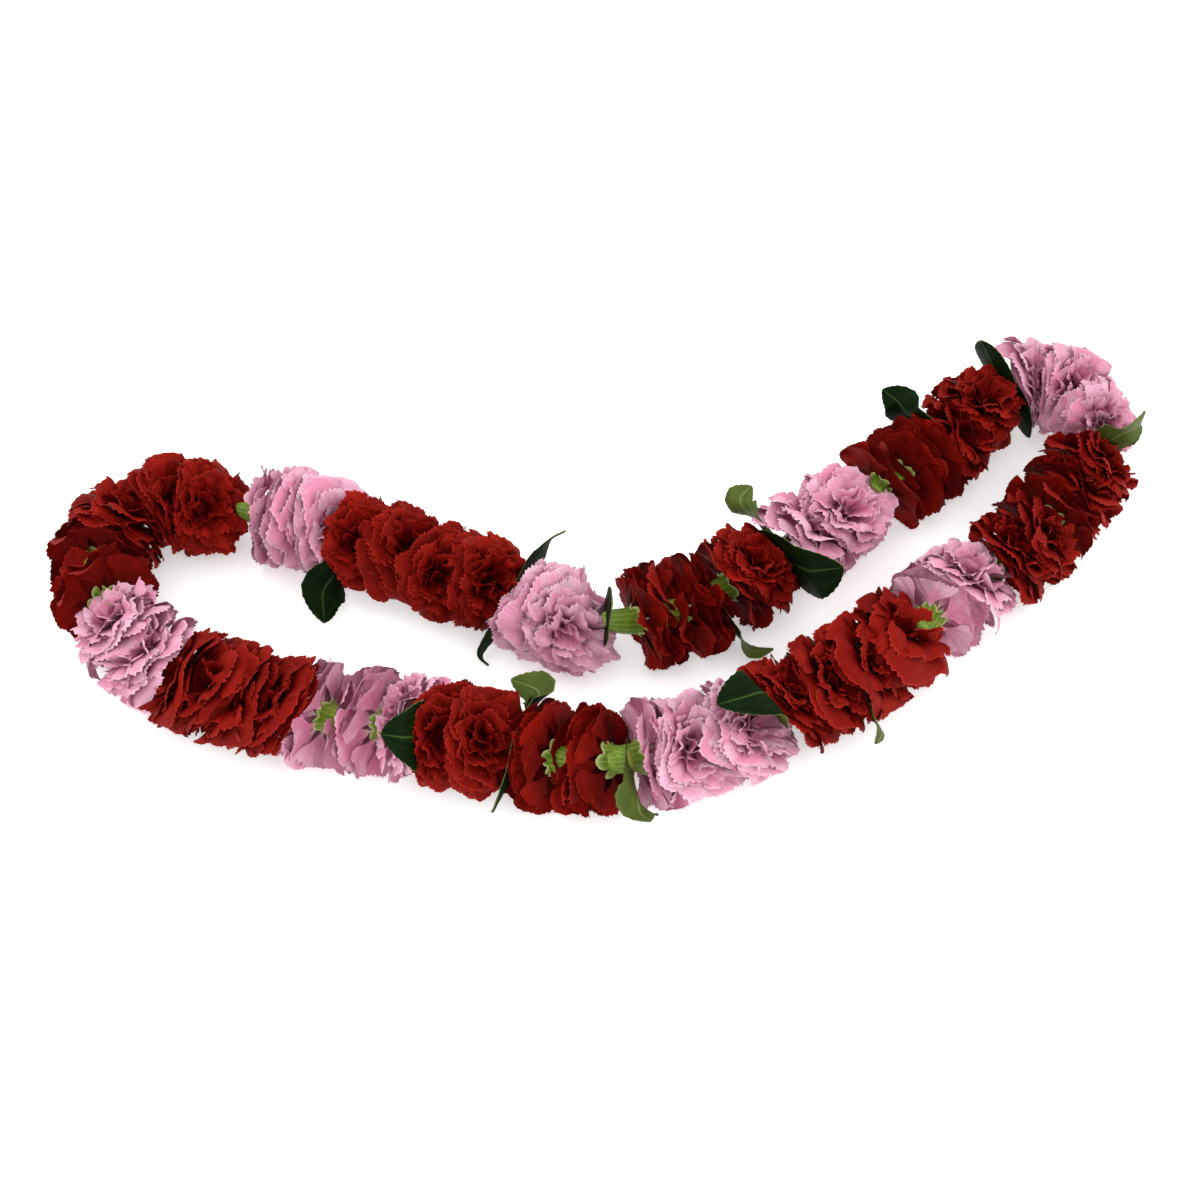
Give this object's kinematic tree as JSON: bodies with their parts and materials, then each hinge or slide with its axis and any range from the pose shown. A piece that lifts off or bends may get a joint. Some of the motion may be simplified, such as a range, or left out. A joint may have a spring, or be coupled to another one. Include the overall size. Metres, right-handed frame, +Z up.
{
  "type": "lei",
  "caption": "Closed garland of red and pink carnations with dark leaves threaded on one string, laid flat in a crescent and worn round the neck.",
  "frame": {"origin": "centre of the lei's footprint at table height", "axes": "+X along the crescent's length to the right, +Y away from the viewer, +Z up"},
  "size_m": [0.5042, 0.2728, 0.0562],
  "materials": {
    "red_petals": "soft, velvety petals",
    "pink_petals": "soft, satin petals",
    "leaf": "waxy, glossy leaf",
    "string": "twisted cotton thread"
  },
  "bodies": {
    "root": {"string": "string", "leaf_01": "leaf", "leaf_02": "leaf", "leaf_03": "leaf", "leaf_04": "leaf", "leaf_05": "leaf", "leaf_06": "leaf", "leaf_07": "leaf", "leaf_08": "leaf", "leaf_09": "leaf", "leaf_10": "leaf", "leaf_11": "leaf", "leaf_12": "leaf", "leaf_13": "leaf", "leaf_14": "leaf", "leaf_15": "leaf", "red_carnation_01": "red_petals", "red_carnation_02": "red_petals", "red_carnation_03": "red_petals", "red_carnation_04": "red_petals", "red_carnation_05": "red_petals", "red_carnation_06": "red_petals", "red_carnation_07": "red_petals", "red_carnation_08": "red_petals", "red_carnation_09": "red_petals", "red_carnation_10": "red_petals", "red_carnation_11": "red_petals", "red_carnation_12": "red_petals", "red_carnation_13": "red_petals", "red_carnation_14": "red_petals", "red_carnation_15": "red_petals", "red_carnation_16": "red_petals", "red_carnation_17": "red_petals", "red_carnation_18": "red_petals", "red_carnation_19": "red_petals", "red_carnation_20": "red_petals", "red_carnation_21": "red_petals", "red_carnation_22": "red_petals", "red_carnation_23": "red_petals", "red_carnation_24": "red_petals", "red_carnation_25": "red_petals", "pink_carnation_01": "pink_petals", "pink_carnation_02": "pink_petals", "pink_carnation_03": "pink_petals", "pink_carnation_04": "pink_petals", "pink_carnation_05": "pink_petals", "pink_carnation_06": "pink_petals", "pink_carnation_07": "pink_petals", "pink_carnation_08": "pink_petals", "pink_carnation_09": "pink_petals", "pink_carnation_10": "pink_petals", "pink_carnation_11": "pink_petals", "pink_carnation_12": "pink_petals", "pink_carnation_13": "pink_petals", "pink_carnation_14": "pink_petals", "pink_carnation_15": "pink_petals", "pink_carnation_16": "pink_petals", "pink_carnation_17": "pink_petals", "pink_carnation_18": "pink_petals", "pink_carnation_19": "pink_petals"}
  },
  "joints": []
}
